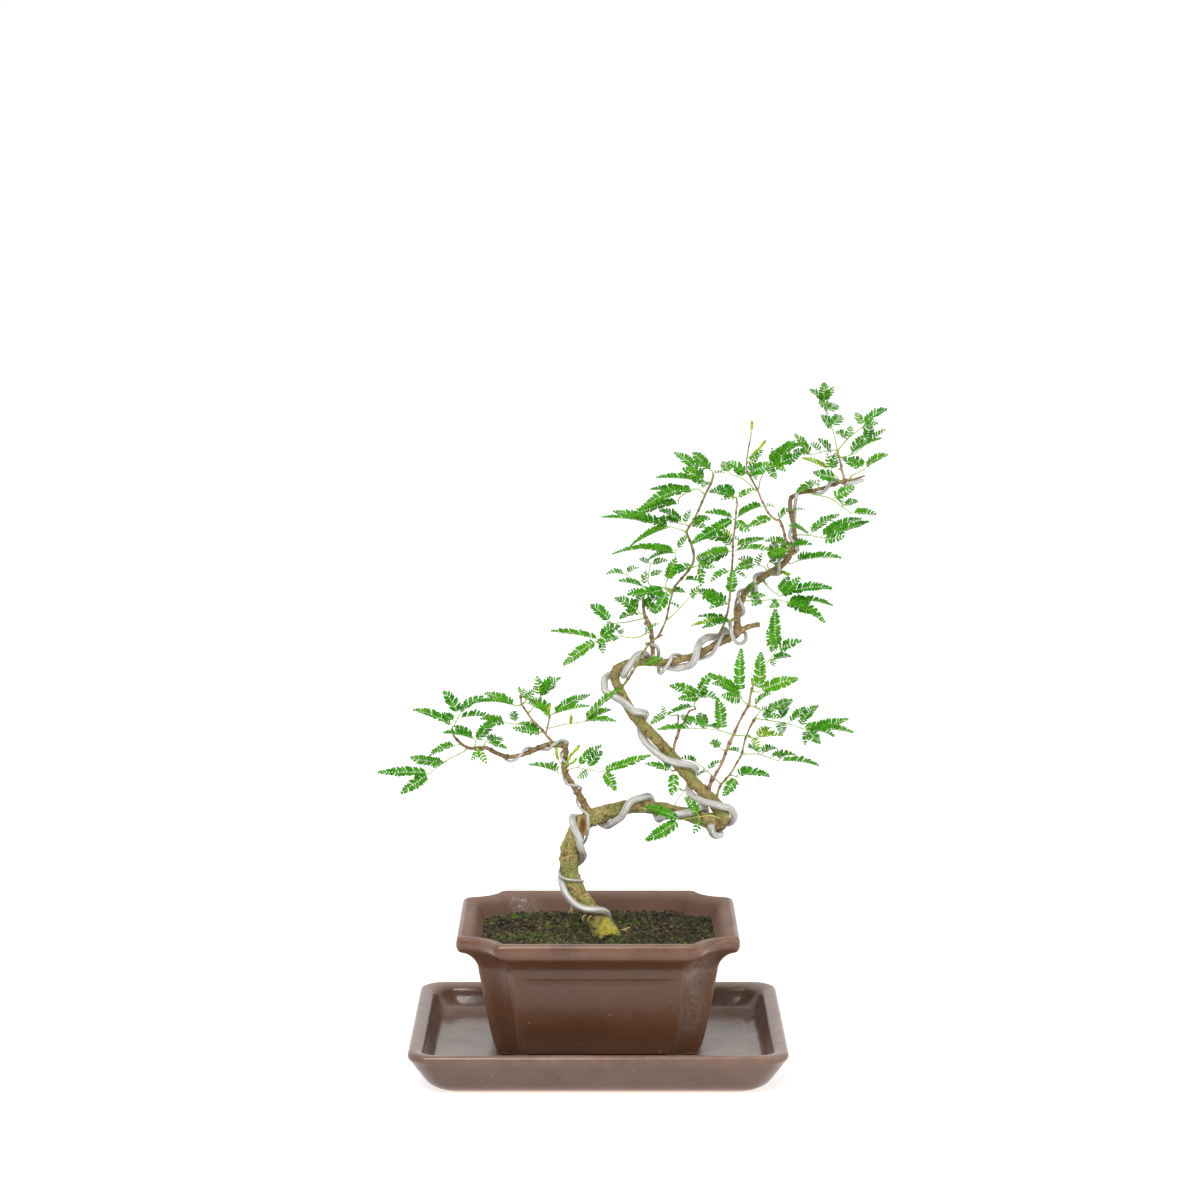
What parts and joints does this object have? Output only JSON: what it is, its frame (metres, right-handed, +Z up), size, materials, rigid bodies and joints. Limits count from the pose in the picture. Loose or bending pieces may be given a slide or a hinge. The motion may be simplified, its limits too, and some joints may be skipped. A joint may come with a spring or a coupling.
{
  "type": "gum arabic tree bonsai",
  "caption": "Young gum arabic tree trained with aluminium wire as a bonsai, with twice-cut leaves, in a brown ceramic pot with cut corners on its saucer.",
  "frame": {"origin": "centre of the saucer's underside", "axes": "+Z up, -Y towards the viewer, +X to the viewer's right"},
  "size_m": [0.268, 0.1464, 0.3688],
  "materials": {
    "ceramic": "matt glaze, purplish brown",
    "mesh_plastic": "moulded",
    "soil": "granular, damp",
    "bark": "smooth young bark",
    "training_wire": "matt drawn wire",
    "foliage": "thin soft leaflets"
  },
  "bodies": {
    "root": {"branch_wire": "training_wire", "drain_mesh_left": "mesh_plastic", "drain_mesh_right": "mesh_plastic", "leaf_diagonal_low": "foliage", "leaf_elbow": "foliage", "leaf_leader_1": "foliage", "leaf_leader_10": "foliage", "leaf_leader_11": "foliage", "leaf_leader_12": "foliage", "leaf_leader_13": "foliage", "leaf_leader_13_b": "foliage", "leaf_leader_2": "foliage", "leaf_leader_3": "foliage", "leaf_leader_4": "foliage", "leaf_leader_5": "foliage", "leaf_leader_5_b": "foliage", "leaf_leader_7": "foliage", "leaf_leader_8": "foliage", "leaf_leader_9": "foliage", "leaf_left_branch_long": "foliage", "leaf_left_branch_side": "foliage", "leaf_left_tip_inner": "foliage", "leaf_left_tip_inner_b": "foliage", "leaf_left_tip_outer": "foliage", "leaf_left_tip_right": "foliage", "leaf_left_tip_small": "foliage", "leaf_left_tip_top": "foliage", "leaf_trunk_small": "foliage", "leaf_trunk_top": "foliage", "pot": "ceramic", "saucer": "ceramic", "soil": "soil", "trunk": "bark", "trunk_wire_lower": "training_wire", "trunk_wire_upper": "training_wire", "twig_crown_left": "foliage", "twig_crown_middle": "foliage", "twig_crown_right": "foliage", "twig_crown_tip": "foliage", "twig_diagonal_left": "foliage", "twig_diagonal_right": "foliage", "twig_elbow": "foliage", "twig_left_branch": "foliage", "twig_upper_left": "foliage", "upper_thin_wire": "training_wire"}
  },
  "joints": []
}
